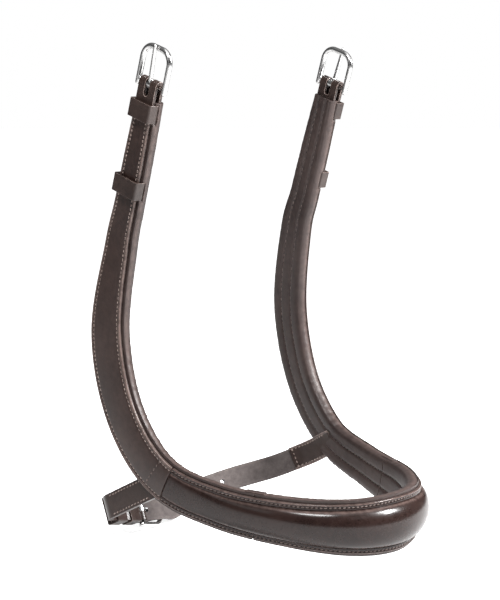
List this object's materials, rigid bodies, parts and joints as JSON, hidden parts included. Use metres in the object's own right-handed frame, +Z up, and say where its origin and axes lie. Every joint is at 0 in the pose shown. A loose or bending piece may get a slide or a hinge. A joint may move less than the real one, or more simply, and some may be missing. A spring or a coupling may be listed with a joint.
{
  "type": "bridle noseband",
  "caption": "Padded leather noseband with raised nose piece, buckled cheek straps and a chin strap, for a horse's bridle.",
  "frame": {"origin": "a point on the middle plane inside the loop that the horse's muzzle goes through, level with the lower edge of the chin strap's side pieces", "axes": "+Z up along the cheek straps, the nose piece faces -Y, the wearer's left cheek strap is on -X"},
  "size_m": [0.1816, 0.2054, 0.3268],
  "materials": {
    "face_leather": "smooth dark brown bridle leather",
    "nose_leather": "glossy dark brown leather",
    "lining_leather": "soft dull leather",
    "strap_leather": "dark strap leather",
    "filling": "closed foam, hidden",
    "hardware": "polished"
  },
  "bodies": {
    "noseband": {"backing_strap": "strap_leather", "left_cheek_face": "face_leather", "right_cheek_face": "face_leather", "nose_face": "nose_leather", "nose_core": "filling", "left_cheek_lining": "lining_leather", "right_cheek_lining": "lining_leather", "nose_lining": "lining_leather", "left_cheek_foam": "filling", "right_cheek_foam": "filling", "nose_foam": "filling", "left_buckle_tab": "strap_leather", "right_buckle_tab": "strap_leather", "left_upper_keeper": "face_leather", "right_upper_keeper": "face_leather", "left_lower_keeper": "face_leather", "right_lower_keeper": "face_leather", "chin_buckle_tab": "face_leather", "chin_buckle_frame": "hardware", "chin_fixed_keeper": "face_leather", "chin_strap": "strap_leather", "chin_stiffener": "strap_leather"},
    "left_frame": {"left_buckle_frame": "hardware"},
    "left_tongue": {"left_buckle_tongue": "hardware"},
    "right_frame": {"right_buckle_frame": "hardware"},
    "right_tongue": {"right_buckle_tongue": "hardware"},
    "chin_tongue": {"chin_buckle_tongue": "hardware"},
    "chin_runner": {"chin_runner_keeper": "face_leather"}
  },
  "joints": [
    {"name": "left_frame_hinge", "type": "hinge", "parent": "noseband", "child": "left_frame", "pos_m": [-0.08245, 0.01449, 0.29104], "axis": [0, 0.9537, 0.3007], "range_deg": [-60, 45]},
    {"name": "left_tongue_hinge", "type": "hinge", "parent": "left_frame", "child": "left_tongue", "pos_m": [-0.08245, 0.01449, 0.29104], "axis": [0, -0.9537, -0.3007], "range_deg": [0, 100]},
    {"name": "right_frame_hinge", "type": "hinge", "parent": "noseband", "child": "right_frame", "pos_m": [0.08245, 0.01449, 0.29104], "axis": [0, -0.9537, -0.3007], "range_deg": [-60, 45]},
    {"name": "right_tongue_hinge", "type": "hinge", "parent": "right_frame", "child": "right_tongue", "pos_m": [0.08245, 0.01449, 0.29104], "axis": [0, 0.9537, 0.3007], "range_deg": [0, 100]},
    {"name": "chin_tongue_hinge", "type": "hinge", "parent": "noseband", "child": "chin_tongue", "pos_m": [-0.05041, 0.06737, 0.00428], "axis": [0.0958, 0.4826, 0.8706], "range_deg": [0, 9]},
    {"name": "chin_runner_slide", "type": "slide", "parent": "noseband", "child": "chin_runner", "axis": [0.9412, 0.2408, -0.2371], "range_m": [-0.005, 0.0002]}
  ]
}
